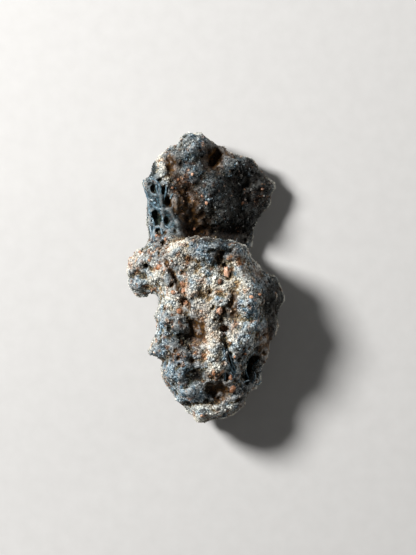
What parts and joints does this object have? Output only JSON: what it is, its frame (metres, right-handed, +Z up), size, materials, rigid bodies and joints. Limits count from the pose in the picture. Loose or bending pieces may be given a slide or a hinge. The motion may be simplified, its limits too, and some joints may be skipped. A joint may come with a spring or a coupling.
{
  "type": "fulgurite",
  "caption": "Natural lump of lightning-fused sand glass: a knobbly trunk with a flat fan at one end, lying on its worn back.",
  "frame": {"origin": "middle of the object's box in X and Y, on the surface it lies on", "axes": "+Y along the lump, towards its fan-shaped crown; +Z up, out of its face; +X across it, to the right when its face is seen with the crown on top"},
  "size_m": [0.0272, 0.0504, 0.0176],
  "materials": {
    "fused_sand": "rough, half-melted quartz sand and bubbly grey glass"
  },
  "bodies": {
    "root": {"fulgurite": "fused_sand"}
  },
  "joints": []
}
